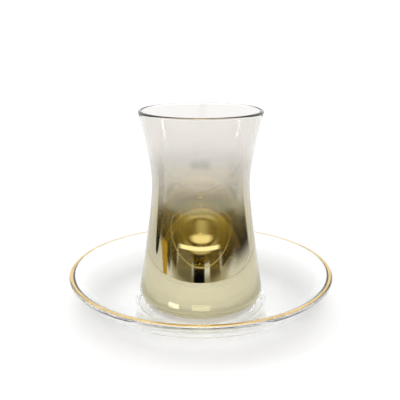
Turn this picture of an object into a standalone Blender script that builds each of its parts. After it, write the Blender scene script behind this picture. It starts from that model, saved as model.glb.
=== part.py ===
"""A slim-waisted tea glass standing in the well of its glass saucer.

Metres, +Z up. The origin is the centre of the saucer's underside, on the surface it stands on.
Both pieces are turned shapes: a half outline, worked out below, is swept round the Z axis.
"""

import math

import bpy

# The pair
SWEEP_STEPS = 64
TOUCH_GAP = 0.0003
QUARTER_ROUND = 0.55

# Saucer
SAUCER_RADIUS = 0.0620
SAUCER_HEIGHT = 0.0195
SAUCER_THICKNESS = 0.0027
RIM_FACE_WIDTH = 0.0031
RIM_INNER_DROP = 0.0005
RIM_OUTER_ROUND = 0.0009
DISH_START_TILT = math.radians(15.0)
DISH_END_TILT = math.radians(44.0)
DISH_START_REACH = 0.0190
DISH_END_REACH = 0.0100
WELL_RADIUS = 0.0296
WELL_FLOOR = 0.0033
SHOULDER_RADIUS = 0.0326
SHOULDER_HEIGHT = 0.0048
FOOT_RING_OUTER = 0.0294
FOOT_RING_INNER = 0.0266
FOOT_RING_FLARE = 0.0010
UNDERSIDE_RECESS = 0.0008

# Tea glass, heights from its own base
GLASS_HEIGHT = 0.0913
BEND_HEIGHT = 0.0615
BEND_RADIUS = 0.02258
LOWER_TAPER = 0.165
UPPER_FLARE = 0.268
WAIST_SOFTNESS = 0.0027
FOOT_CORNER_RISE = 0.0080
FOOT_FLAT_RADIUS = 0.0212
LIP_ROUND = 0.0009
WALL_GAIN_LOW = 0.0012
BASE_THICKNESS = 0.0080
BOWL_CORNER_RISE = 0.0110
BOWL_FLAT_RADIUS = 0.0070


def bezier(start, start_handle, end_handle, end, count):
    """Points of a cubic curve from start to end, both included."""
    points = []
    for i in range(count + 1):
        t = i / count
        weights = ((1 - t) ** 3, 3 * t * (1 - t) ** 2, 3 * t * t * (1 - t), t ** 3)
        corners = (start, start_handle, end_handle, end)
        points.append(tuple(sum(w * c[k] for w, c in zip(weights, corners)) for k in (0, 1)))
    return points


def rounded(start, knee, end, count):
    """A rounded corner from start to end, whose two tangents meet at the knee."""
    handles = [
        tuple(side[k] + QUARTER_ROUND * (knee[k] - side[k]) for k in (0, 1))
        for side in (start, end)
    ]
    return bezier(start, handles[0], handles[1], end, count)


def arc(centre, radius, first, last, count):
    """Points of a circular arc between two angles in radians."""
    points = []
    for i in range(count + 1):
        angle = first + (last - first) * i / count
        points.append((centre[0] + radius * math.cos(angle), centre[1] + radius * math.sin(angle)))
    return points


def moved_off(points, distance):
    """The points moved to the right of their direction of travel, by distance."""
    moved = []
    for i, (x, z) in enumerate(points):
        before = points[max(i - 1, 0)]
        after = points[min(i + 1, len(points) - 1)]
        along = (after[0] - before[0], after[1] - before[1])
        length = math.hypot(*along)
        moved.append((x + distance * along[1] / length, z - distance * along[0] / length))
    return moved


def spread(first, last, count):
    """Evenly spaced values from first to last, without first."""
    return [first + (last - first) * i / count for i in range(1, count + 1)]


def wall_radius(height):
    """Outer radius: a taper below the waist and a flare above it, joined by a hyperbola."""
    above = height - BEND_HEIGHT
    bend = math.hypot((UPPER_FLARE + LOWER_TAPER) / 2 * above, WAIST_SOFTNESS)
    return BEND_RADIUS + (UPPER_FLARE - LOWER_TAPER) / 2 * above + bend - WAIST_SOFTNESS


def wall_slope(height):
    """How fast the outer radius grows with height."""
    half_turn = (UPPER_FLARE + LOWER_TAPER) / 2
    above = height - BEND_HEIGHT
    bend = math.hypot(half_turn * above, WAIST_SOFTNESS)
    return (UPPER_FLARE - LOWER_TAPER) / 2 + half_turn ** 2 * above / bend


def wall_point(height, depth):
    """The point that lies depth inside the outer wall, square to it."""
    tilt = math.atan(wall_slope(height))
    return (wall_radius(height) - depth * math.cos(tilt), height + depth * math.sin(tilt))


def wall_thickness(height):
    """Twice the lip's rounding at the top, and thicker towards the base."""
    return 2 * LIP_ROUND + WALL_GAIN_LOW * (1 - height / GLASS_HEIGHT) ** 2


def knee_at(point, slope, height):
    """Where the wall's tangent through the point reaches the height."""
    return (point[0] + slope * (height - point[1]), height)


def glass_outline():
    """Half outline of the tea glass, from the middle of its bowl, over the lip, to its base."""
    bowl_height = BASE_THICKNESS + BOWL_CORNER_RISE
    bowl_edge = wall_point(bowl_height, wall_thickness(bowl_height))
    bowl_knee = knee_at(bowl_edge, wall_slope(bowl_height), BASE_THICKNESS)
    lip_tilt = math.atan(wall_slope(GLASS_HEIGHT))
    lip_height = GLASS_HEIGHT - LIP_ROUND * (1 + math.sin(lip_tilt))
    lip_centre = wall_point(lip_height, LIP_ROUND)
    foot_edge = wall_point(FOOT_CORNER_RISE, 0.0)
    foot_knee = knee_at(foot_edge, wall_slope(FOOT_CORNER_RISE), 0.0)

    points = [(0.0, BASE_THICKNESS)]
    points += rounded((BOWL_FLAT_RADIUS, BASE_THICKNESS), bowl_knee, bowl_edge, 8)
    for height in spread(bowl_height, lip_height, 15):
        points.append(wall_point(height, wall_thickness(height)))
    points += arc(lip_centre, LIP_ROUND, math.pi - lip_tilt, math.pi / 2, 3)[1:]
    points += arc(lip_centre, LIP_ROUND, math.pi / 2, -lip_tilt, 4)[1:]
    for height in spread(lip_height, FOOT_CORNER_RISE, 18):
        points.append(wall_point(height, 0.0))
    points += rounded(foot_edge, foot_knee, (FOOT_FLAT_RADIUS, 0.0), 8)[1:]
    points.append((0.0, 0.0))
    base = WELL_FLOOR + TOUCH_GAP
    return [(x, z + base) for x, z in points]


def dish_curve(count):
    """The saucer's upper surface, from the shoulder of the well to the rim's inner edge."""
    start = (SHOULDER_RADIUS, SHOULDER_HEIGHT)
    end = (SAUCER_RADIUS - RIM_FACE_WIDTH, SAUCER_HEIGHT - RIM_INNER_DROP)
    start_handle = (
        start[0] + DISH_START_REACH * math.cos(DISH_START_TILT),
        start[1] + DISH_START_REACH * math.sin(DISH_START_TILT),
    )
    end_handle = (
        end[0] - DISH_END_REACH * math.cos(DISH_END_TILT),
        end[1] - DISH_END_REACH * math.sin(DISH_END_TILT),
    )
    return bezier(start, start_handle, end_handle, end, count)


def well_shoulder(count):
    """The low step up out of the well, which ends along the dish's first slope."""
    half_step = (SHOULDER_RADIUS - WELL_RADIUS) / 2
    return bezier(
        (WELL_RADIUS, WELL_FLOOR),
        (WELL_RADIUS + half_step, WELL_FLOOR),
        (SHOULDER_RADIUS - half_step, SHOULDER_HEIGHT - half_step * math.tan(DISH_START_TILT)),
        (SHOULDER_RADIUS, SHOULDER_HEIGHT),
        count,
    )


def rim_section(inner, under):
    """The rim, from the dish's end to the underside's start: rounded edges and a flat face."""
    steepness = math.tan(DISH_END_TILT)
    face_knee = (inner[0] + RIM_INNER_DROP / steepness, SAUCER_HEIGHT)
    face_start = (face_knee[0] + RIM_INNER_DROP, SAUCER_HEIGHT)
    face_end = (SAUCER_RADIUS - RIM_OUTER_ROUND, SAUCER_HEIGHT)
    edge_end = (SAUCER_RADIUS, SAUCER_HEIGHT - RIM_OUTER_ROUND)
    under_knee = (SAUCER_RADIUS, under[1] + steepness * (SAUCER_RADIUS - under[0]))
    points = rounded(inner, face_knee, face_start, 3)[1:]
    points += rounded(face_end, (SAUCER_RADIUS, SAUCER_HEIGHT), edge_end, 4)
    points += rounded(edge_end, under_knee, under, 3)[1:]
    return points


def saucer_outline():
    """Half outline of the saucer, from the middle of its well, over the rim, to its underside."""
    dish = dish_curve(12)
    underside = moved_off(dish, SAUCER_THICKNESS)[::-1]
    ring_root = (FOOT_RING_OUTER + FOOT_RING_FLARE, underside[-1][1] - FOOT_RING_FLARE / 2)
    recess_edge = (FOOT_RING_INNER - FOOT_RING_FLARE, UNDERSIDE_RECESS)
    points = [(0.0, WELL_FLOOR)]
    points += well_shoulder(5)
    points += dish[1:]
    points += rim_section(dish[-1], underside[0])
    points += underside[1:]
    points += [ring_root, (FOOT_RING_OUTER, 0.0), (FOOT_RING_INNER, 0.0)]
    points += [recess_edge, (0.0, UNDERSIDE_RECESS)]
    return points


def plain_material(name, colour, metallic, roughness, transmission):
    """One Principled material with the piece's own colour."""
    material = bpy.data.materials.new(name)
    material.use_nodes = True
    shader = material.node_tree.nodes["Principled BSDF"]
    shader.inputs["Base Color"].default_value = (*colour, 1.0)
    shader.inputs["Metallic"].default_value = metallic
    shader.inputs["Roughness"].default_value = roughness
    shader.inputs["Transmission Weight"].default_value = transmission
    shader.inputs["IOR"].default_value = 1.52
    return material


def turned(name, outline, material, collection):
    """An object whose half outline is swept once round the Z axis and closed at both poles."""
    mesh = bpy.data.meshes.new(name)
    vertices = [(x, 0.0, z) for x, z in outline]
    edges = [(i, i + 1) for i in range(len(outline) - 1)]
    mesh.from_pydata(vertices, edges, [])
    mesh.materials.append(material)
    piece = bpy.data.objects.new(name, mesh)
    collection.objects.link(piece)
    sweep = piece.modifiers.new("sweep", "SCREW")
    sweep.axis = "Z"
    sweep.steps = SWEEP_STEPS
    sweep.render_steps = SWEEP_STEPS
    sweep.use_merge_vertices = True
    sweep.merge_threshold = 0.00001
    sweep.use_smooth_shade = True
    return piece


def main():
    """Clears the scene and builds the two pieces."""
    for old in list(bpy.data.objects):
        bpy.data.objects.remove(old)
    collection = bpy.data.collections.new("turkish_tea_glass")
    bpy.context.scene.collection.children.link(collection)
    coated = plain_material("coated_glass", (0.78, 0.73, 0.50), 0.8, 0.05, 0.2)
    clear = plain_material("clear_glass", (0.97, 0.98, 0.98), 0.0, 0.02, 1.0)
    turned("tea_glass", glass_outline(), coated, collection)
    turned("saucer", saucer_outline(), clear, collection)


main()
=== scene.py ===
"""Looks of a slim-waisted tea glass with a fading mirror coat, in the well of its gold-lined saucer.

Metres, +Z up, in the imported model's frame: the saucer stands on z = 0 and both pieces are turned about
the Z axis. Every piece is a surface worked out with numpy from a half outline. The mirror coat and the
gold line are films that lie a few hundredths of a millimetre outside the glass that carries them.
"""

import logging
import math
from collections.abc import Sequence
from dataclasses import dataclass
from enum import Enum

import bpy
import numpy as np
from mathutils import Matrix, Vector


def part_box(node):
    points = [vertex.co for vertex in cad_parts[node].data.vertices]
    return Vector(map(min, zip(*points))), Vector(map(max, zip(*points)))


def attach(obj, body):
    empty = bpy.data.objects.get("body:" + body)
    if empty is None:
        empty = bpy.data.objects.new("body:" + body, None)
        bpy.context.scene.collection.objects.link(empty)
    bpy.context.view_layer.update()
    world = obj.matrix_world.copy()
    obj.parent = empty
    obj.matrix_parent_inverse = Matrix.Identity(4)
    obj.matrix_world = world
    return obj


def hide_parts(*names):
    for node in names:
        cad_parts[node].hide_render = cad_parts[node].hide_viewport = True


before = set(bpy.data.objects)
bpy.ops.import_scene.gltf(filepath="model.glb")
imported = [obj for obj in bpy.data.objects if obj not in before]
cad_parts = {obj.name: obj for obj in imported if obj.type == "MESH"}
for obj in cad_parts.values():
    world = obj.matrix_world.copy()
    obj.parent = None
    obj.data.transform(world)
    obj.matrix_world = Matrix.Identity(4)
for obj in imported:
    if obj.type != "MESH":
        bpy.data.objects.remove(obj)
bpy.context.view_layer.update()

LOG = logging.getLogger("tea_glass_scene")
BODY = "root"

# Turned surfaces
SEGMENTS = 512
ON_AXIS = 1e-7
FILM_GAP = 0.00003
QUARTER_ROUND = 0.55

# Sockets of a Mix node that mixes colours
MIX_FACTOR, MIX_FIRST, MIX_SECOND, MIX_RESULT = 0, 6, 7, 2

# Noise of the shared polish
WAVE_DETAIL = 1.0
CLOUD_SCALE = 170.0
CLOUD_DETAIL = 5.0
CLOUD_RANGE = (0.35, 0.75)

# Light bounces
MIRROR_AND_GLASS_BOUNCES = 20
ALL_BOUNCES = 24

Colour = tuple[float, float, float]
Span = tuple[float, float]


class Slot(str, Enum):
    """The record's material slots."""

    COATED_GLASS = "coated_glass"
    CLEAR_GLASS = "clear_glass"
    MIRROR_COAT = "mirror_coat"
    GOLD_LINE = "gold_line"


class CardEdge(Enum):
    """How a studio card is cut."""

    STRAIGHT = "straight"
    POINTED = "pointed"
    ROUND = "round"


class LampShape(Enum):
    """The outline of a softbox, by Blender's names."""

    RECTANGLE = "RECTANGLE"
    ELLIPSE = "ELLIPSE"


def point(radius: float, height: float) -> np.ndarray:
    """One point of a half outline, as an array."""
    return np.array((radius, height), dtype=float)


def direction(tilt: float) -> np.ndarray:
    """The unit vector that rises outwards at a tilt in radians."""
    return point(math.cos(tilt), math.sin(tilt))


def bezier(
    start: np.ndarray, start_handle: np.ndarray, end_handle: np.ndarray, end: np.ndarray, steps: int
) -> np.ndarray:
    """A cubic curve: each corner weighted by its Bernstein share of t, with t even from 0 to 1.

    Args:
        start: First point.
        start_handle: Corner that the curve leaves towards.
        end_handle: Corner that the curve comes in from.
        end: Last point.
        steps: Number of intervals.

    Returns:
        The points, one a row, both ends included.
    """
    t = np.linspace(0.0, 1.0, steps + 1)[:, None]
    s = 1.0 - t
    return s**3 * start + 3 * t * s**2 * start_handle + 3 * t**2 * s * end_handle + t**3 * end


def rounded(start: np.ndarray, knee: np.ndarray, end: np.ndarray, steps: int) -> np.ndarray:
    """A rounded corner whose two end tangents meet at the knee.

    Args:
        start: Where the rounding starts.
        knee: Where the two tangents meet.
        end: Where the rounding ends.
        steps: Number of intervals.

    Returns:
        The points, one a row, both ends included.
    """
    start_handle = start + QUARTER_ROUND * (knee - start)
    end_handle = end + QUARTER_ROUND * (knee - end)
    return bezier(start, start_handle, end_handle, end, steps)


def arc(centre: np.ndarray, radius: float, first: float, last: float, steps: int) -> np.ndarray:
    """Points of a circular arc: the centre plus the radius times (cos, sin) of an even angle.

    Args:
        centre: Centre of the arc.
        radius: Its radius.
        first: First angle in radians.
        last: Last angle in radians.
        steps: Number of intervals.

    Returns:
        The points, one a row, both ends included.
    """
    angle = np.linspace(first, last, steps + 1)
    return centre + radius * np.column_stack((np.cos(angle), np.sin(angle)))


def moved_off(points: np.ndarray, distance: float) -> np.ndarray:
    """An outline moved to its right: each point plus the distance times the turned unit tangent.

    Args:
        points: The outline, one point a row.
        distance: How far to the right it moves.

    Returns:
        The moved outline.
    """
    along = np.gradient(points, axis=0)
    along /= np.linalg.norm(along, axis=1, keepdims=True)
    return points + distance * np.column_stack((along[:, 1], -along[:, 0]))


def turned_piece(name: str, outline: np.ndarray, sharp_angle: float | None = None) -> bpy.types.Object:
    """A surface of revolution: the outline's (r, z) at turn angle a goes to (r cos a, r sin a, z).

    The outline's right-hand side, looking along its travel, is the inside. An end on the axis becomes
    one pole.

    Args:
        name: Name of the object and of its mesh.
        outline: Half outline, one (radius, height) point a row.
        sharp_angle: Angle in radians past which an edge is shaded sharp, or None for smooth all over.

    Returns:
        The new object, at the origin, with its place in its mesh.
    """
    on_axis = outline[:, 0] < ON_AXIS
    rings = outline[~on_axis]
    turn = np.linspace(0.0, 2.0 * math.pi, SEGMENTS, endpoint=False)
    radius = rings[:, 0][:, None]
    height = np.broadcast_to(rings[:, 1][:, None], (len(rings), SEGMENTS))
    grid = np.stack((radius * np.cos(turn), radius * np.sin(turn), height), axis=-1).reshape(-1, 3)
    index = np.arange(len(grid)).reshape(len(rings), SEGMENTS)
    ahead = np.roll(index, -1, axis=1)
    quads = np.stack((index[:-1], index[1:], ahead[1:], ahead[:-1]), axis=-1).reshape(-1, 4)
    poles, fans = [], []
    if on_axis[0]:
        pole = len(grid)
        poles.append((0.0, 0.0, outline[0, 1]))
        fans.append(np.column_stack((np.full(SEGMENTS, pole), index[0], ahead[0])))
    if on_axis[-1]:
        pole = len(grid) + len(poles)
        poles.append((0.0, 0.0, outline[-1, 1]))
        fans.append(np.column_stack((np.full(SEGMENTS, pole), ahead[-1], index[-1])))
    vertices = np.vstack((grid, np.array(poles).reshape(-1, 3)))
    faces = quads.tolist() + [row for fan in fans for row in fan.tolist()]
    mesh = bpy.data.meshes.new(name)
    mesh.from_pydata(vertices.tolist(), [], faces)
    mesh.update()
    mesh.shade_smooth()
    if sharp_angle is not None:
        mesh.set_sharp_from_angle(angle=sharp_angle)
    piece = bpy.data.objects.new(name, mesh)
    bpy.context.scene.collection.objects.link(piece)
    return piece


class NodeSheet:
    """A short way to add and join shader nodes in one material or group."""

    def __init__(self, tree: bpy.types.NodeTree) -> None:
        """Keeps the tree that the nodes go in."""
        self.tree = tree

    def add(self, kind: str, **values: object) -> bpy.types.Node:
        """Adds one node.

        Args:
            kind: Blender's name of the node type.
            values: Properties to set on it.

        Returns:
            The node.
        """
        node = self.tree.nodes.new(kind)
        for name, value in values.items():
            setattr(node, name, value)
        return node

    def join(self, source: bpy.types.NodeSocket, target: bpy.types.NodeSocket) -> None:
        """Joins an output to an input."""
        self.tree.links.new(source, target)

    def put(self, socket: bpy.types.NodeSocket, value: object) -> None:
        """Feeds an input.

        Args:
            socket: The input.
            value: An output to join to it, or a plain value.
        """
        if isinstance(value, bpy.types.NodeSocket):
            self.join(value, socket)
        else:
            socket.default_value = value

    def math(self, operation: str, *values: object) -> bpy.types.NodeSocket:
        """Adds a Math node.

        Args:
            operation: Its operation.
            values: Plain numbers or outputs for its inputs, in order.

        Returns:
            Its output.
        """
        node = self.add("ShaderNodeMath", operation=operation)
        for socket, value in zip(node.inputs, values):
            self.put(socket, value)
        return node.outputs[0]

    def smooth(self, value: object, low: float, high: float) -> bpy.types.NodeSocket:
        """A smooth step of a value from 0 at low to 1 at high.

        Args:
            value: The value's output.
            low: Where the step starts.
            high: Where it ends.

        Returns:
            The step's output.
        """
        node = self.add("ShaderNodeMapRange", interpolation_type="SMOOTHSTEP")
        for socket, part in zip(node.inputs, (value, low, high, 0.0, 1.0)):
            self.put(socket, part)
        return node.outputs[0]

    def blend(self, factor: object, first: object, second: object) -> bpy.types.NodeSocket:
        """Mixes two colours.

        Args:
            factor: Share of the second colour.
            first: First colour, plain or an output.
            second: Second colour, plain or an output.

        Returns:
            The mixed colour's output.
        """
        node = self.add("ShaderNodeMix", data_type="RGBA")
        for index, value in ((MIX_FACTOR, factor), (MIX_FIRST, first), (MIX_SECOND, second)):
            self.put(node.inputs[index], value)
        return node.outputs[MIX_RESULT]

    def own_height(self) -> bpy.types.NodeSocket:
        """Reads the height in the piece's own coordinates.

        Returns:
            The output with the Z of Object coordinates.
        """
        place = self.add("ShaderNodeTexCoord")
        axes = self.add("ShaderNodeSeparateXYZ")
        self.join(place.outputs["Object"], axes.inputs[0])
        return axes.outputs["Z"]


def rgba(colour: Colour) -> tuple[float, float, float, float]:
    """A colour with full alpha."""
    return (*colour, 1.0)


def polish_group() -> bpy.types.NodeTree:
    """The shared polish: soft waves left by moulding and a faint uneven sheen.

    Returns:
        A group with inputs Place, Wave Scale, Gloss and Unevenness, and outputs Height, Roughness
        and Cloud.
    """
    tree = bpy.data.node_groups.new("polish", "ShaderNodeTree")
    for name, kind in (
        ("Place", "NodeSocketVector"),
        ("Wave Scale", "NodeSocketFloat"),
        ("Gloss", "NodeSocketFloat"),
        ("Unevenness", "NodeSocketFloat"),
    ):
        tree.interface.new_socket(name, in_out="INPUT", socket_type=kind)
    for name in ("Height", "Roughness", "Cloud"):
        tree.interface.new_socket(name, in_out="OUTPUT", socket_type="NodeSocketFloat")
    sheet = NodeSheet(tree)
    given = sheet.add("NodeGroupInput")
    result = sheet.add("NodeGroupOutput")
    waves = sheet.add("ShaderNodeTexNoise")
    sheet.join(given.outputs["Place"], waves.inputs["Vector"])
    sheet.join(given.outputs["Wave Scale"], waves.inputs["Scale"])
    waves.inputs["Detail"].default_value = WAVE_DETAIL
    sheet.join(waves.outputs[0], result.inputs["Height"])
    cloud = sheet.add("ShaderNodeTexNoise")
    sheet.join(given.outputs["Place"], cloud.inputs["Vector"])
    cloud.inputs["Scale"].default_value = CLOUD_SCALE
    cloud.inputs["Detail"].default_value = CLOUD_DETAIL
    mask = sheet.smooth(cloud.outputs[0], *CLOUD_RANGE)
    uneven = sheet.math("MULTIPLY", mask, given.outputs["Unevenness"])
    sheet.join(sheet.math("ADD", uneven, given.outputs["Gloss"]), result.inputs["Roughness"])
    sheet.join(mask, result.inputs["Cloud"])
    return tree


@dataclass(frozen=True)
class Polish:
    """One material's values for the shared polish group: how high its waves are and how glossy it is."""

    group: bpy.types.NodeTree
    wave_scale: float
    wave_height: float
    gloss: float = 0.0
    unevenness: float = 0.0

    def add_to(self, sheet: NodeSheet, shader: bpy.types.Node, rough: bool) -> bpy.types.Node:
        """Places the group and joins its height, and if asked its roughness, to a shader.

        Args:
            sheet: The material's nodes.
            shader: The Principled shader that it feeds.
            rough: True to drive the shader's roughness too.

        Returns:
            The group node.
        """
        place = sheet.add("ShaderNodeTexCoord")
        node = sheet.add("ShaderNodeGroup", node_tree=self.group)
        sheet.join(place.outputs["Object"], node.inputs["Place"])
        node.inputs["Wave Scale"].default_value = self.wave_scale
        node.inputs["Gloss"].default_value = self.gloss
        node.inputs["Unevenness"].default_value = self.unevenness
        bump = sheet.add("ShaderNodeBump")
        bump.inputs["Strength"].default_value = 1.0
        bump.inputs["Distance"].default_value = self.wave_height
        sheet.join(node.outputs["Height"], bump.inputs["Height"])
        sheet.join(bump.outputs[0], shader.inputs["Normal"])
        if rough:
            sheet.join(node.outputs["Roughness"], shader.inputs["Roughness"])
        return node


def new_material(name: str) -> tuple[bpy.types.Material, NodeSheet, bpy.types.Node, bpy.types.Node]:
    """A fresh material with one Principled shader.

    Args:
        name: Its name.

    Returns:
        The material, its nodes, the Principled shader and the output node.
    """
    material = bpy.data.materials.new(name)
    material.use_nodes = True
    sheet = NodeSheet(material.node_tree)
    nodes = material.node_tree.nodes
    return material, sheet, nodes["Principled BSDF"], nodes["Material Output"]


@dataclass(frozen=True)
class ClearGlass:
    """Polished soda-lime glass."""

    name: str
    polish: Polish
    tint: Colour = (0.985, 0.99, 0.985)
    ior: float = 1.5

    def material(self) -> bpy.types.Material:
        """Builds the glass.

        Returns:
            The material.
        """
        material, sheet, shader, _ = new_material(self.name)
        self.colour(sheet, shader)
        shader.inputs["Roughness"].default_value = 0.0
        shader.inputs["IOR"].default_value = self.ior
        shader.inputs["Transmission Weight"].default_value = 1.0
        self.polish.add_to(sheet, shader, rough=False)
        return material

    def colour(self, sheet: NodeSheet, shader: bpy.types.Node) -> None:
        """Gives the glass one even tint."""
        shader.inputs["Base Color"].default_value = rgba(self.tint)


@dataclass(frozen=True)
class StainedGlass(ClearGlass):
    """Glass whose lower part is seen through the coat's amber stain, which is gone above the waist."""

    tint: Colour = (0.99, 0.977, 0.965)
    foot: float = 0.0
    lip: float = 1.0
    stain: Colour = (0.93, 0.85, 0.42)
    fade: Span = (0.36, 0.60)

    def colour(self, sheet: NodeSheet, shader: bpy.types.Node) -> None:
        """Blends from the stain to the clear tint over the fade, given in shares of the height.

        Args:
            sheet: The material's nodes.
            shader: The Principled shader that gets the colour.
        """
        low, high = (self.foot + share * (self.lip - self.foot) for share in self.fade)
        clear = sheet.smooth(sheet.own_height(), low, high)
        sheet.join(sheet.blend(clear, rgba(self.stain), rgba(self.tint)), shader.inputs["Base Color"])


@dataclass(frozen=True)
class FadingMirror:
    """A champagne gold mirror film, full at the foot and thinner with height.

    The cover gives how much of the glass the film hides at some shares of the height. The two fades are
    the shares of the height over which each side turns from gold to silver. The veil is a thin haze.
    """

    polish: Polish
    foot: float
    lip: float
    low_gold: Colour = (0.55, 0.508, 0.337)
    high_silver: Colour = (0.45, 0.42, 0.33)
    inner_gold: Colour = (0.95, 0.84, 0.42)
    inner_silver: Colour = (0.38, 0.35, 0.31)
    outer_fade: Span = (0.05, 0.6)
    inner_fade: Span = (0.45, 0.72)
    veil: Colour = (0.45, 0.40, 0.25)
    veil_share: float = 0.04
    cover: tuple[Span, ...] = (
        (0.0, 1.0), (0.24, 1.0), (0.30, 0.92), (0.38, 0.82), (0.46, 0.73),
        (0.53, 0.63), (0.6, 0.56), (0.7, 0.49), (0.84, 0.28), (1.0, 0.26),
    )

    def material(self) -> bpy.types.Material:
        """Builds the film: colour and cover both follow the height above the foot.

        Returns:
            The material.
        """
        material, sheet, shader, _ = new_material("mirror_film")
        shader.inputs["Metallic"].default_value = 1.0
        group = self.polish.add_to(sheet, shader, rough=True)
        height = sheet.add("ShaderNodeMapRange")
        for socket, value in zip(height.inputs, (sheet.own_height(), self.foot, self.lip, 0.0, 1.0)):
            sheet.put(socket, value)
        share = height.outputs[0]
        ramp = sheet.add("ShaderNodeValToRGB")
        ramp.color_ramp.interpolation = "EASE"
        stops = ramp.color_ramp.elements
        while len(stops) < len(self.cover):
            stops.new(1.0)
        for stop, (where, amount) in zip(stops, self.cover):
            stop.position = where
            stop.color = rgba((amount, amount, amount))
        sheet.join(share, ramp.inputs[0])
        sheet.join(ramp.outputs[0], shader.inputs["Alpha"])
        outer_share = sheet.smooth(share, *self.outer_fade)
        gold = sheet.blend(outer_share, rgba(self.low_gold), rgba(self.high_silver))
        veil = sheet.math("MULTIPLY", group.outputs["Cloud"], self.veil_share)
        outer = sheet.blend(veil, gold, rgba(self.veil))
        inner_share = sheet.smooth(share, *self.inner_fade)
        inner = sheet.blend(inner_share, rgba(self.inner_gold), rgba(self.inner_silver))
        side = sheet.add("ShaderNodeNewGeometry")
        sheet.join(sheet.blend(side.outputs["Backfacing"], outer, inner), shader.inputs["Base Color"])
        return material


@dataclass(frozen=True)
class GoldPaint:
    """Fired gold paint, a little uneven, on glass."""

    polish: Polish
    bright: Colour = (0.76, 0.56, 0.25)
    worn: Colour = (0.50, 0.35, 0.12)
    wear: float = 0.55

    def material(self) -> bpy.types.Material:
        """Builds the paint.

        Returns:
            The material.
        """
        material, sheet, shader, _ = new_material("gold_paint")
        shader.inputs["Metallic"].default_value = 1.0
        group = self.polish.add_to(sheet, shader, rough=True)
        share = sheet.math("MULTIPLY", group.outputs["Cloud"], self.wear)
        sheet.join(sheet.blend(share, rgba(self.bright), rgba(self.worn)), shader.inputs["Base Color"])
        return material


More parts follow.
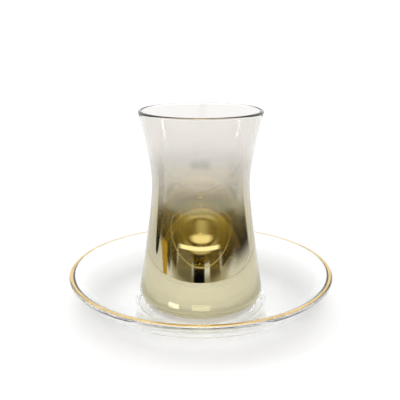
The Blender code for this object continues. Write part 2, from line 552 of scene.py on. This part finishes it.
@dataclass(frozen=True)
class TeaGlass:
    """The glass: a taper below the waist and a flare above it, joined by a hyperbola, on a thick base.

    Heights are given above the glass's own base. The taper and the flare are slopes: how far the wall
    moves outwards for each metre along the height. The coat ends at coat_foot, above the flat underside.
    """

    base: float
    height: float
    bend_height: float = 0.0615
    bend_radius: float = 0.02258
    lower_taper: float = 0.165
    upper_flare: float = 0.268
    waist_softness: float = 0.0027
    foot_corner_rise: float = 0.0080
    foot_flat_radius: float = 0.0212
    lip_round: float = 0.0009
    wall_gain_low: float = 0.0012
    base_thickness: float = 0.0080
    bowl_corner_rise: float = 0.0110
    bowl_flat_radius: float = 0.0070
    coat_foot: float = 0.0012
    wall_rows: int = 44
    corner_steps: int = 24
    lip_inner_steps: int = 8
    lip_outer_steps: int = 10

    def wall_radius(self, height: np.ndarray | float) -> np.ndarray:
        """Outer radius: mean slope times height above the bend, plus a hyperbola's arm less its softness.

        Args:
            height: Heights above the glass's own base.

        Returns:
            The outer radii there.
        """
        above = np.asarray(height, dtype=float) - self.bend_height
        mean_slope = (self.upper_flare - self.lower_taper) / 2
        half_turn = (self.upper_flare + self.lower_taper) / 2
        arm = np.hypot(half_turn * above, self.waist_softness)
        return self.bend_radius + mean_slope * above + arm - self.waist_softness

    def wall_slope(self, height: np.ndarray | float) -> np.ndarray:
        """How fast the outer radius grows: the mean slope plus the hyperbola's own slope.

        Args:
            height: Heights above the glass's own base.

        Returns:
            The slopes there.
        """
        above = np.asarray(height, dtype=float) - self.bend_height
        mean_slope = (self.upper_flare - self.lower_taper) / 2
        half_turn = (self.upper_flare + self.lower_taper) / 2
        arm = np.hypot(half_turn * above, self.waist_softness)
        return mean_slope + half_turn**2 * above / arm

    def wall_thickness(self, height: np.ndarray | float) -> np.ndarray:
        """Twice the lip's rounding, plus a share that grows with the square of the way down."""
        return 2 * self.lip_round + self.wall_gain_low * (1 - np.asarray(height) / self.height) ** 2

    def wall_points(self, height: np.ndarray | float, depth: np.ndarray | float) -> np.ndarray:
        """Points a given depth inside the outer wall, square to it.

        Args:
            height: Heights above the base.
            depth: Depths below the outer surface.

        Returns:
            One (radius, height) row for each height.
        """
        tilt = np.arctan(self.wall_slope(height))
        radius = self.wall_radius(height) - depth * np.cos(tilt)
        return np.stack((radius, height + depth * np.sin(tilt)), axis=-1)

    def knee(self, corner: np.ndarray, slope: float, height: float) -> np.ndarray:
        """Where the wall's tangent through a corner reaches a height."""
        return point(corner[0] + slope * (height - corner[1]), height)

    def lip(self) -> tuple[np.ndarray, float, float]:
        """The lip's rounding.

        Returns:
            Its centre, the wall's tilt there and the height where the walls end.
        """
        tilt = float(np.arctan(self.wall_slope(self.height)))
        height = self.height - self.lip_round * (1 + math.sin(tilt))
        return self.wall_points(height, self.lip_round), tilt, height

    def bowl_outline(self) -> np.ndarray:
        """The inside: a flat bottom, a rounded corner and the wall's own offset up to the lip.

        Returns:
            The outline from the axis upwards.
        """
        edge_height = self.base_thickness + self.bowl_corner_rise
        edge = self.wall_points(edge_height, self.wall_thickness(edge_height))
        knee = self.knee(edge, float(self.wall_slope(edge_height)), self.base_thickness)
        bottom = point(self.bowl_flat_radius, self.base_thickness)
        corner = rounded(bottom, knee, edge, self.corner_steps)
        heights = np.linspace(edge_height, self.lip()[2], self.wall_rows)[1:]
        wall = self.wall_points(heights, self.wall_thickness(heights))
        flat = point(0.0, self.base_thickness)[None]
        return np.vstack((flat, flat + point(self.bowl_flat_radius / 2, 0.0), corner, wall))

    def lip_outline(self) -> np.ndarray:
        """The lip: two arcs about one centre, from the inner wall over the top to the outer wall.

        Returns:
            The outline without its two ends, which the walls have.
        """
        centre, tilt, _ = self.lip()
        inner = arc(centre, self.lip_round, math.pi - tilt, math.pi / 2, self.lip_inner_steps)
        outer = arc(centre, self.lip_round, math.pi / 2, -tilt, self.lip_outer_steps)
        return np.vstack((inner[1:-1], outer[:-1]))

    def outer_outline(self) -> np.ndarray:
        """The outside: the wall down from the lip, the foot's rounded corner and the flat underside.

        Returns:
            The outline from the lip down to the axis.
        """
        heights = np.linspace(self.lip()[2], self.foot_corner_rise, self.wall_rows)
        wall = self.wall_points(heights, 0.0)
        edge = wall[-1]
        knee = self.knee(edge, float(self.wall_slope(self.foot_corner_rise)), 0.0)
        corner = rounded(edge, knee, point(self.foot_flat_radius, 0.0), self.corner_steps)[1:]
        flat = np.array((point(self.foot_flat_radius / 2, 0.0), point(0.0, 0.0)))
        return np.vstack((wall, corner, flat))

    def build(self, finish: bpy.types.Material) -> bpy.types.Object:
        """Builds and dresses the glass body.

        Args:
            finish: The stained glass material.

        Returns:
            The piece.
        """
        outline = np.vstack((self.bowl_outline(), self.lip_outline(), self.outer_outline()))
        piece = turned_piece("glass_body", outline + point(0.0, self.base))
        piece.data.materials.append(finish)
        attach(piece, BODY)
        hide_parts("tea_glass")
        return piece

    def build_coat(self, finish: bpy.types.Material) -> bpy.types.Object:
        """Builds and dresses the mirror film round the outside, down to the foot's corner.

        Args:
            finish: The fading mirror material.

        Returns:
            The piece.
        """
        outer = self.outer_outline()
        coated = outer[outer[:, 1] > self.coat_foot]
        piece = turned_piece("mirror_film", moved_off(coated, -FILM_GAP) + point(0.0, self.base))
        piece.data.materials.append(finish)
        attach(piece, BODY)
        return piece


@dataclass(frozen=True)
class Saucer:
    """The saucer: a flat well, a low shoulder, a dish that gets steeper outwards and a flat-cut rim.

    The tilts are the dish's angles at its two ends, and the reaches are the lengths of the curve's
    handles there. Below the dish stands a foot ring with leaning sides, round a shallow recess.
    """

    radius: float
    height: float
    thickness: float = 0.0027
    rim_face_width: float = 0.0031
    rim_inner_drop: float = 0.0005
    rim_outer_round: float = 0.0009
    dish_start_tilt: float = math.radians(15.0)
    dish_end_tilt: float = math.radians(44.0)
    dish_start_reach: float = 0.0190
    dish_end_reach: float = 0.0100
    well_radius: float = 0.0296
    well_floor: float = 0.0033
    shoulder_radius: float = 0.0326
    shoulder_height: float = 0.0048
    ring_outer: float = 0.0294
    ring_inner: float = 0.0266
    ring_flare: float = 0.0010
    recess: float = 0.0008
    sharp_angle: float = math.radians(35.0)
    dish_steps: int = 48
    shoulder_steps: int = 12
    rim_inner_steps: int = 8
    rim_outer_steps: int = 10
    line_face_rows: int = 5
    line_round_rows: int = 5

    def dish(self) -> np.ndarray:
        """The upper surface from the shoulder to the rim's inner edge: one cubic with two given tilts.

        Returns:
            The curve, from the inside outwards.
        """
        start = point(self.shoulder_radius, self.shoulder_height)
        end = point(self.radius - self.rim_face_width, self.height - self.rim_inner_drop)
        leave = self.dish_start_reach * direction(self.dish_start_tilt)
        arrive = self.dish_end_reach * direction(self.dish_end_tilt)
        return bezier(start, start + leave, end - arrive, end, self.dish_steps)

    def shoulder(self) -> np.ndarray:
        """The low step up out of the well: one cubic that starts level and ends along the dish's slope.

        Returns:
            The curve, from the inside outwards.
        """
        half = (self.shoulder_radius - self.well_radius) / 2
        start = point(self.well_radius, self.well_floor)
        end = point(self.shoulder_radius, self.shoulder_height)
        drop = half * math.tan(self.dish_start_tilt)
        return bezier(start, start + point(half, 0.0), end - point(half, drop), end, self.shoulder_steps)

    def rim_top(self, inner: np.ndarray) -> np.ndarray:
        """The rim's upper side.

        Args:
            inner: The dish's last point.

        Returns:
            Rounded inner edge, flat face and rounded outer edge.
        """
        steepness = math.tan(self.dish_end_tilt)
        face_knee = point(inner[0] + self.rim_inner_drop / steepness, self.height)
        face_start = face_knee + point(self.rim_inner_drop, 0.0)
        face_end = point(self.radius - self.rim_outer_round, self.height)
        edge_end = point(self.radius, self.height - self.rim_outer_round)
        inner_edge = rounded(inner, face_knee, face_start, self.rim_inner_steps)
        outer_edge = rounded(face_end, point(self.radius, self.height), edge_end, self.rim_outer_steps)
        return np.vstack((inner_edge, outer_edge))

    def outline(self) -> np.ndarray:
        """Half outline: well, shoulder, dish, rim, the dish's own offset below it, and the foot ring.

        Returns:
            The outline from the middle of the well, over the rim, to the middle of the underside.
        """
        dish = self.dish()
        under = moved_off(dish, self.thickness)[::-1]
        rim = self.rim_top(dish[-1])
        steepness = math.tan(self.dish_end_tilt)
        under_knee = point(self.radius, under[0, 1] + steepness * (self.radius - under[0, 0]))
        outside = rounded(rim[-1], under_knee, under[0], self.rim_outer_steps)[1:]
        ring = np.array((
            (self.ring_outer + self.ring_flare, under[-1, 1] - self.ring_flare / 2),
            (self.ring_outer, 0.0),
            (self.ring_inner, 0.0),
            (self.ring_inner - self.ring_flare, self.recess),
            (self.ring_inner / 2, self.recess),
            (0.0, self.recess),
        ))
        well = np.array(((0.0, self.well_floor), (self.well_radius / 2, self.well_floor)))
        return np.vstack((well, self.shoulder(), dish[1:], rim[1:], outside, under[1:], ring))

    def build(self, finish: bpy.types.Material) -> bpy.types.Object:
        """Builds and dresses the clear glass saucer.

        Args:
            finish: The clear glass material.

        Returns:
            The piece.
        """
        piece = turned_piece("saucer_glass", self.outline(), self.sharp_angle)
        piece.data.materials.append(finish)
        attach(piece, BODY)
        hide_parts("saucer")
        return piece

    def build_line(self, finish: bpy.types.Material) -> bpy.types.Object:
        """Builds and dresses the gold line on the rim's flat face and on its outer rounding.

        Args:
            finish: The gold paint material.

        Returns:
            The piece.
        """
        rim = self.rim_top(self.dish()[-1])
        face_start = self.rim_inner_steps
        face_end = face_start + 1
        inside = np.linspace(rim[face_start], rim[face_end], self.line_face_rows + 2)[1:-1]
        painted = np.vstack((inside, rim[face_end:face_end + self.line_round_rows]))
        piece = turned_piece("gold_rim_line", moved_off(painted, -FILM_GAP))
        piece.data.materials.append(finish)
        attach(piece, BODY)
        return piece


@dataclass(frozen=True)
class StudioCard:
    """An upright dark or coloured card about the Z axis, which shows only in the object's mirrors: a
    glowing sheet that lights nothing and paints reflected light and shade into them.

    Azimuths are in degrees round the Z axis, 0 towards the viewer and positive to the right. The
    softness of the sides is in degrees, and that of the foot and of the top in metres. The lean tells
    by how many degrees the foot stands further to the right than the top. Far cards stand beyond the
    floor that mirrors show and may reach below it. Near ones stand just outside the saucer or over it,
    where they paint highlights, reflections and shade into the glass's mirror coat.
    """

    name: str
    azimuths: Span
    heights: Span
    light: Colour
    side_softness: Span
    foot_softness: float
    top_softness: float = 0.0
    edge: CardEdge = CardEdge.STRAIGHT
    distance: float = 0.6
    lean: float = 0.0
    columns: int = 32
    rows: int = 24

    def build(self) -> None:
        """Builds the card: a patch of a cylinder round the Z axis.

        A pointed card's half width goes with the square root of the share of its height, so that its
        sides meet at the foot. A round card is an ellipse: its half width goes with the root of one less
        the squared height from its middle.
        """
        across = np.linspace(0.0, 1.0, self.columns + 1)[None, :]
        up = np.linspace(0.0, 1.0, self.rows + 1)[:, None]
        spread = {
            CardEdge.STRAIGHT: np.ones_like(up),
            CardEdge.POINTED: np.sqrt(up),
            CardEdge.ROUND: np.sqrt(1.0 - (2 * up - 1) ** 2),
        }[self.edge]
        middle, half = np.mean(self.azimuths), (self.azimuths[1] - self.azimuths[0]) / 2
        turn = np.radians(middle + (2 * across - 1) * half * spread + (0.5 - up) * self.lean)
        height = np.broadcast_to(self.heights[0] + up * (self.heights[1] - self.heights[0]), turn.shape)
        grid = np.stack((self.distance * np.sin(turn), -self.distance * np.cos(turn), height), axis=-1)
        index = np.arange(turn.size).reshape(turn.shape)
        corners_of_quads = (index[:-1, :-1], index[:-1, 1:], index[1:, 1:], index[1:, :-1])
        quads = np.stack(corners_of_quads, axis=-1).reshape(-1, 4)
        mesh = bpy.data.meshes.new(self.name)
        mesh.from_pydata(grid.reshape(-1, 3).tolist(), [], quads.tolist())
        places = np.stack(np.broadcast_arrays(across, up), axis=-1).reshape(-1, 2)
        corners = np.empty(len(mesh.loops), dtype=np.int32)
        mesh.loops.foreach_get("vertex_index", corners)
        layer = mesh.uv_layers.new(name="card")
        layer.data.foreach_set("uv", places[corners].astype(np.float32).ravel())
        mesh.materials.append(self.material())
        card = bpy.data.objects.new(self.name, mesh)
        bpy.context.scene.collection.objects.link(card)
        for kind in ("camera", "diffuse", "transmission", "shadow", "volume_scatter"):
            setattr(card, f"visible_{kind}", False)

    def material(self) -> bpy.types.Material:
        """Builds the card's painted glow, seen only in mirrors: the product of one smooth step for each
        soft edge.

        Returns:
            The material.
        """
        material, sheet, shader, output = new_material(self.name)
        material.node_tree.nodes.remove(shader)
        layer = sheet.add("ShaderNodeUVMap", uv_map="card")
        axes = sheet.add("ShaderNodeSeparateXYZ")
        sheet.join(layer.outputs[0], axes.inputs[0])
        across, up = axes.outputs["X"], axes.outputs["Y"]
        width = self.azimuths[1] - self.azimuths[0]
        tall = self.heights[1] - self.heights[0]
        masks = [
            sheet.smooth(across, 0.0, self.side_softness[0] / width),
            sheet.smooth(sheet.math("SUBTRACT", 1.0, across), 0.0, self.side_softness[1] / width),
            sheet.smooth(up, 0.0, self.foot_softness / tall),
        ]
        if self.top_softness > 0.0:
            masks.append(sheet.smooth(sheet.math("SUBTRACT", 1.0, up), 0.0, self.top_softness / tall))
        mask = masks[0]
        for other in masks[1:]:
            mask = sheet.math("MULTIPLY", mask, other)
        glow = sheet.add("ShaderNodeEmission")
        glow.inputs["Color"].default_value = rgba(self.light)
        clear = sheet.add("ShaderNodeBsdfTransparent")
        mix = sheet.add("ShaderNodeMixShader")
        sheet.join(mask, mix.inputs[0])
        sheet.join(clear.outputs[0], mix.inputs[1])
        sheet.join(glow.outputs[0], mix.inputs[2])
        sheet.join(mix.outputs[0], output.inputs["Surface"])
        return material


@dataclass(frozen=True)
class Softbox:
    """A flat lamp that faces the object, given by its place, size and radiance."""

    name: str
    place: tuple[float, float]
    height: float
    size: tuple[float, float]
    radiance: float
    shape: LampShape = LampShape.RECTANGLE
    colour: Colour = (1.0, 0.985, 0.96)

    def build(self) -> None:
        """Hangs the lamp: its power is pi times its width times its height times its radiance."""
        light = bpy.data.lights.new(self.name, "AREA")
        light.shape = self.shape.value
        light.size, light.size_y = self.size
        light.energy = math.pi * self.size[0] * self.size[1] * self.radiance
        light.color = self.colour
        lamp = bpy.data.objects.new(self.name, light)
        lamp.location = (*self.place, self.height)
        lamp.rotation_euler = (-lamp.location).to_track_quat("-Z", "Y").to_euler()
        bpy.context.scene.collection.objects.link(lamp)


@dataclass(frozen=True)
class Studio:
    """Plain pale floor, even white surroundings, softboxes and the cards that the mirrors show.

    The floor fades into the white surroundings far out. In mirrors it is an oval: mirror_reach gives its
    half width and half depth, and mirror_edge the shares of them over which it ends. It has a soft glow
    of its own, stronger under the saucer: painted light that stands in for the light a white floor and
    clear glass throw about, and lightens the shade under the saucer.
    """

    floor_drop: float = 0.0001
    floor_radius: float = 0.7
    floor_rings: int = 25
    floor_fade: Span = (0.32, 0.665)
    floor_colour: Colour = (0.66, 0.66, 0.66)
    floor_roughness: float = 0.9
    floor_specular: float = 0.1
    floor_glow: float = 0.09
    # painted light: the floor glows brighter under the saucer, lightening the shade there
    saucer_painted_light: float = 0.46
    saucer_painted_light_fade: Span = (0.028, 0.056)
    mirror_reach: Span = (0.172, 0.235)
    mirror_edge: Span = (0.93, 1.07)
    world_strength: float = 1.14
    softboxes: tuple[Softbox, ...] = (
        Softbox("softbox_top", (0.0, 0.1), 0.9, (0.6, 0.6), 0.8),
        Softbox("softbox_front", (0.0, -0.58), 0.7, (0.36, 0.34), 4.5),
        Softbox("softbox_low", (0.0, -0.74), 0.52, (0.22, 0.13), 24.0, LampShape.ELLIPSE),
        Softbox("softbox_left", (-0.5, -0.3), 0.75, (0.24, 0.1), 10.0),
    )
    cards: tuple[StudioCard, ...] = (
        # Far cards: name, azimuths, heights, light, softness of the sides, of the foot, of the top
        StudioCard("front_dark", (-84.0, 62.0), (-0.016, 0.06), (0.17, 0.125, 0.03),
                   (4.0, 12.0), 0.006, 0.03, distance=0.61),
        StudioCard("front_tall", (-16.0, 8.0), (0.12, 0.5), (0.1, 0.12, 0.13),
                   (8.0, 8.0), 0.03, distance=0.605),
        StudioCard("front_under", (-62.0, 62.0), (-0.12, -0.030), (0.66, 0.62, 0.46),
                   (20.0, 24.0), 0.04, distance=0.62),
        StudioCard("horizon_line", (-80.0, 80.0), (-0.0155, -0.0132), (0.8, 0.68, 0.28),
                   (30.0, 30.0), 0.001, 0.001, distance=0.585),
        StudioCard("horizon_bar", (-42.0, 44.0), (-0.0030, 0.0032), (0.85, 0.73, 0.34),
                   (30.0, 30.0), 0.0022, 0.0014, distance=0.584),
        StudioCard("horizon_lamp", (-20.0, 23.0), (0.0040, 0.0125), (0.85, 0.72, 0.31),
                   (19.0, 19.0), 0.0030, 0.001, edge=CardEdge.ROUND, distance=0.585),
        StudioCard("front_haze", (-62.0, 48.0), (-0.050, -0.019), (0.56, 0.50, 0.34),
                   (8.0, 26.0), 0.014, 0.012, distance=0.60),
        StudioCard("front_core", (-18.0, 9.0), (-0.045, 0.02), (0.005, 0.005, 0.006),
                   (7.0, 4.0), 0.012, distance=0.59),
        StudioCard("front_right", (15.0, 42.0), (-0.04, 0.02), (0.16, 0.12, 0.045),
                   (4.0, 8.0), 0.016, distance=0.59),
        StudioCard("front_middle", (-48.0, -14.0), (-0.042, -0.004), (0.25, 0.22, 0.13),
                   (5.0, 5.0), 0.01, 0.004, distance=0.595),
        StudioCard("front_left", (-64.0, -44.0), (-0.038, 0.02), (0.08, 0.065, 0.03),
                   (4.0, 6.0), 0.01, distance=0.59),
        StudioCard("right_gap", (36.0, 112.0), (-0.05, 0.06), (0.05, 0.043, 0.02),
                   (8.0, 44.0), 0.02, 0.03, distance=0.625),
        StudioCard("left_gap", (-108.0, -58.0), (-0.056, 0.06), (0.07, 0.064, 0.034),
                   (10.0, 6.0), 0.014, 0.03, distance=0.625),
        # Near cards, in the same order: painted highlights, reflections and shade, glowing sheets round
        # the glass and over the saucer that light nothing and show only in its mirror coat
        StudioCard("amber", (-71.5, -54.5), (0.013, 0.035), (0.74, 0.46, 0.06),
                   (2.0, 2.0), 0.002, 0.003, edge=CardEdge.POINTED, distance=0.07, lean=13.0),
        StudioCard("left_dark", (-101.0, -74.0), (0.022, 0.054), (0.004, 0.007, 0.009),
                   (4.0, 7.0), 0.003, 0.014, edge=CardEdge.POINTED, distance=0.0702, lean=6.0),
        StudioCard("right_dark", (44.0, 104.0), (0.018, 0.052), (0.02, 0.03, 0.04),
                   (26.0, 7.0), 0.012, 0.014, distance=0.0702),
        StudioCard("near_veil_reflection", (-78.0, 78.0), (0.0485, 0.0583), (0.40, 0.50, 0.56),
                   (24.0, 24.0), 0.0040, 0.0040, distance=0.045),
        StudioCard("near_spot_reflection", (-25.0, 23.0), (0.0590, 0.0640), (0.48, 0.56, 0.58),
                   (13.0, 13.0), 0.0014, 0.0030, distance=0.0449),
        StudioCard("near_ledge_highlight", (-40.0, 35.0), (0.0338, 0.0365), (2.6, 2.4, 1.45),
                   (10.0, 10.0), 0.0008, 0.0008, distance=0.066),
        StudioCard("near_lamp_highlight", (-23.0, 25.0), (0.0372, 0.0422), (2.1, 1.8, 0.88),
                   (14.0, 14.0), 0.0012, 0.0018, edge=CardEdge.ROUND, distance=0.0662),
    )

    def build_floor(self) -> None:
        """Builds the floor: a flat disc of evenly spaced rings, just below the saucer's foot."""
        radius = np.linspace(0.0, self.floor_radius, self.floor_rings)
        outline = np.column_stack((radius, np.full_like(radius, -self.floor_drop)))
        floor = turned_piece("floor", outline)
        floor.data.materials.append(self.floor_material())

    def floor_material(self) -> bpy.types.Material:
        """Builds the floor's paint, with its glow of painted light, its far fade and the oval that
        mirrors see of it.

        Returns:
            The material.
        """
        material, sheet, shader, _ = new_material("pale_floor")
        shader.inputs["Base Color"].default_value = rgba(self.floor_colour)
        shader.inputs["Roughness"].default_value = self.floor_roughness
        shader.inputs["Specular IOR Level"].default_value = self.floor_specular
        place = sheet.add("ShaderNodeTexCoord")
        length = sheet.add("ShaderNodeVectorMath", operation="LENGTH")
        sheet.join(place.outputs["Object"], length.inputs[0])
        # painted light: a brighter glow under the saucer, lightening the shade there
        under = sheet.smooth(length.outputs["Value"], *self.saucer_painted_light_fade)
        glow = sheet.blend(under, rgba((self.saucer_painted_light,) * 3), rgba((self.floor_glow,) * 3))
        sheet.join(glow, shader.inputs["Emission Color"])
        shader.inputs["Emission Strength"].default_value = 1.0
        fade = sheet.smooth(length.outputs["Value"], *self.floor_fade)
        oval = sheet.add("ShaderNodeVectorMath", operation="DIVIDE")
        sheet.join(place.outputs["Object"], oval.inputs[0])
        oval.inputs[1].default_value = (*self.mirror_reach, 1.0)
        beyond = sheet.add("ShaderNodeVectorMath", operation="LENGTH")
        sheet.join(oval.outputs[0], beyond.inputs[0])
        outside = sheet.smooth(beyond.outputs["Value"], *self.mirror_edge)
        path = sheet.add("ShaderNodeLightPath")
        missed = sheet.math("MULTIPLY", outside, path.outputs["Is Glossy Ray"])
        unseen = sheet.math("MAXIMUM", fade, missed)
        sheet.join(sheet.math("SUBTRACT", 1.0, unseen), shader.inputs["Alpha"])
        return material

    def build_world(self) -> None:
        """Builds the even white surroundings."""
        world = bpy.data.worlds.new("white_room")
        world.use_nodes = True
        back = world.node_tree.nodes["Background"]
        back.inputs["Color"].default_value = rgba((1.0, 1.0, 1.0))
        back.inputs["Strength"].default_value = self.world_strength
        bpy.context.scene.world = world

    def build(self) -> None:
        """Builds all of it."""
        self.build_floor()
        self.build_world()
        for softbox in self.softboxes:
            softbox.build()
        for card in self.cards:
            card.build()


@dataclass(frozen=True)
class PhotoCamera:
    """The camera fitted to the photograph: where it stands, how far it looks down and its lens."""

    back: float = 0.2788
    height: float = 0.1309
    look_down: float = math.radians(15.65)
    lens: float = 55.98
    sensor: float = 36.0
    shift: float = -0.0022
    clip_start: float = 0.01

    def build(self) -> None:
        """Builds the camera and makes it the scene's own."""
        data = bpy.data.cameras.new("photo_camera")
        data.lens = self.lens
        data.sensor_width = self.sensor
        data.shift_x = self.shift
        data.clip_start = self.clip_start
        camera = bpy.data.objects.new("photo_camera", data)
        camera.location = Vector((0.0, -self.back, self.height))
        camera.rotation_euler = (math.pi / 2 - self.look_down, 0.0, 0.0)
        bpy.context.scene.collection.objects.link(camera)
        bpy.context.scene.camera = camera


def set_up_light_paths() -> None:
    """Lets light bounce often enough inside the coated bowl, and shows colours as they are."""
    scene = bpy.context.scene
    scene.view_settings.view_transform = "Standard"
    scene.cycles.max_bounces = ALL_BOUNCES
    scene.cycles.glossy_bounces = MIRROR_AND_GLASS_BOUNCES
    scene.cycles.transmission_bounces = MIRROR_AND_GLASS_BOUNCES
    scene.cycles.transparent_max_bounces = ALL_BOUNCES


def report(pieces: Sequence[bpy.types.Object]) -> None:
    """Logs each piece with its number of faces.

    Args:
        pieces: The finished pieces.
    """
    for piece in pieces:
        LOG.info("%s: %d faces", piece.name, len(piece.data.polygons))


def main() -> None:
    """Builds the glass, its coat, the saucer and its line, then the studio and the camera."""
    logging.basicConfig(level=logging.INFO)
    glass_low, glass_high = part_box("tea_glass")
    saucer_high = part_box("saucer")[1]
    group = polish_group()
    body_polish = Polish(group, wave_scale=30.0, wave_height=0.00002)
    dish_polish = Polish(group, wave_scale=35.0, wave_height=0.00002)
    coat_polish = Polish(group, wave_scale=30.0, wave_height=0.00001, gloss=0.012, unevenness=0.01)
    line_polish = Polish(group, wave_scale=260.0, wave_height=0.00003, gloss=0.16, unevenness=0.2)
    body_finish = StainedGlass("clear_glass_body", body_polish, foot=glass_low.z, lip=glass_high.z)
    dish_finish = ClearGlass("clear_glass_saucer", dish_polish)
    coat_finish = FadingMirror(coat_polish, foot=glass_low.z, lip=glass_high.z)
    line_finish = GoldPaint(line_polish)

    glass = TeaGlass(base=glass_low.z, height=glass_high.z - glass_low.z)
    saucer = Saucer(radius=saucer_high.x - FILM_GAP, height=saucer_high.z - FILM_GAP)
    pieces = [
        glass.build(body_finish.material()),
        glass.build_coat(coat_finish.material()),
        saucer.build(dish_finish.material()),
        saucer.build_line(line_finish.material()),
    ]
    report(pieces)
    Studio().build()
    PhotoCamera().build()
    set_up_light_paths()


if __name__ == "__main__":
    main()
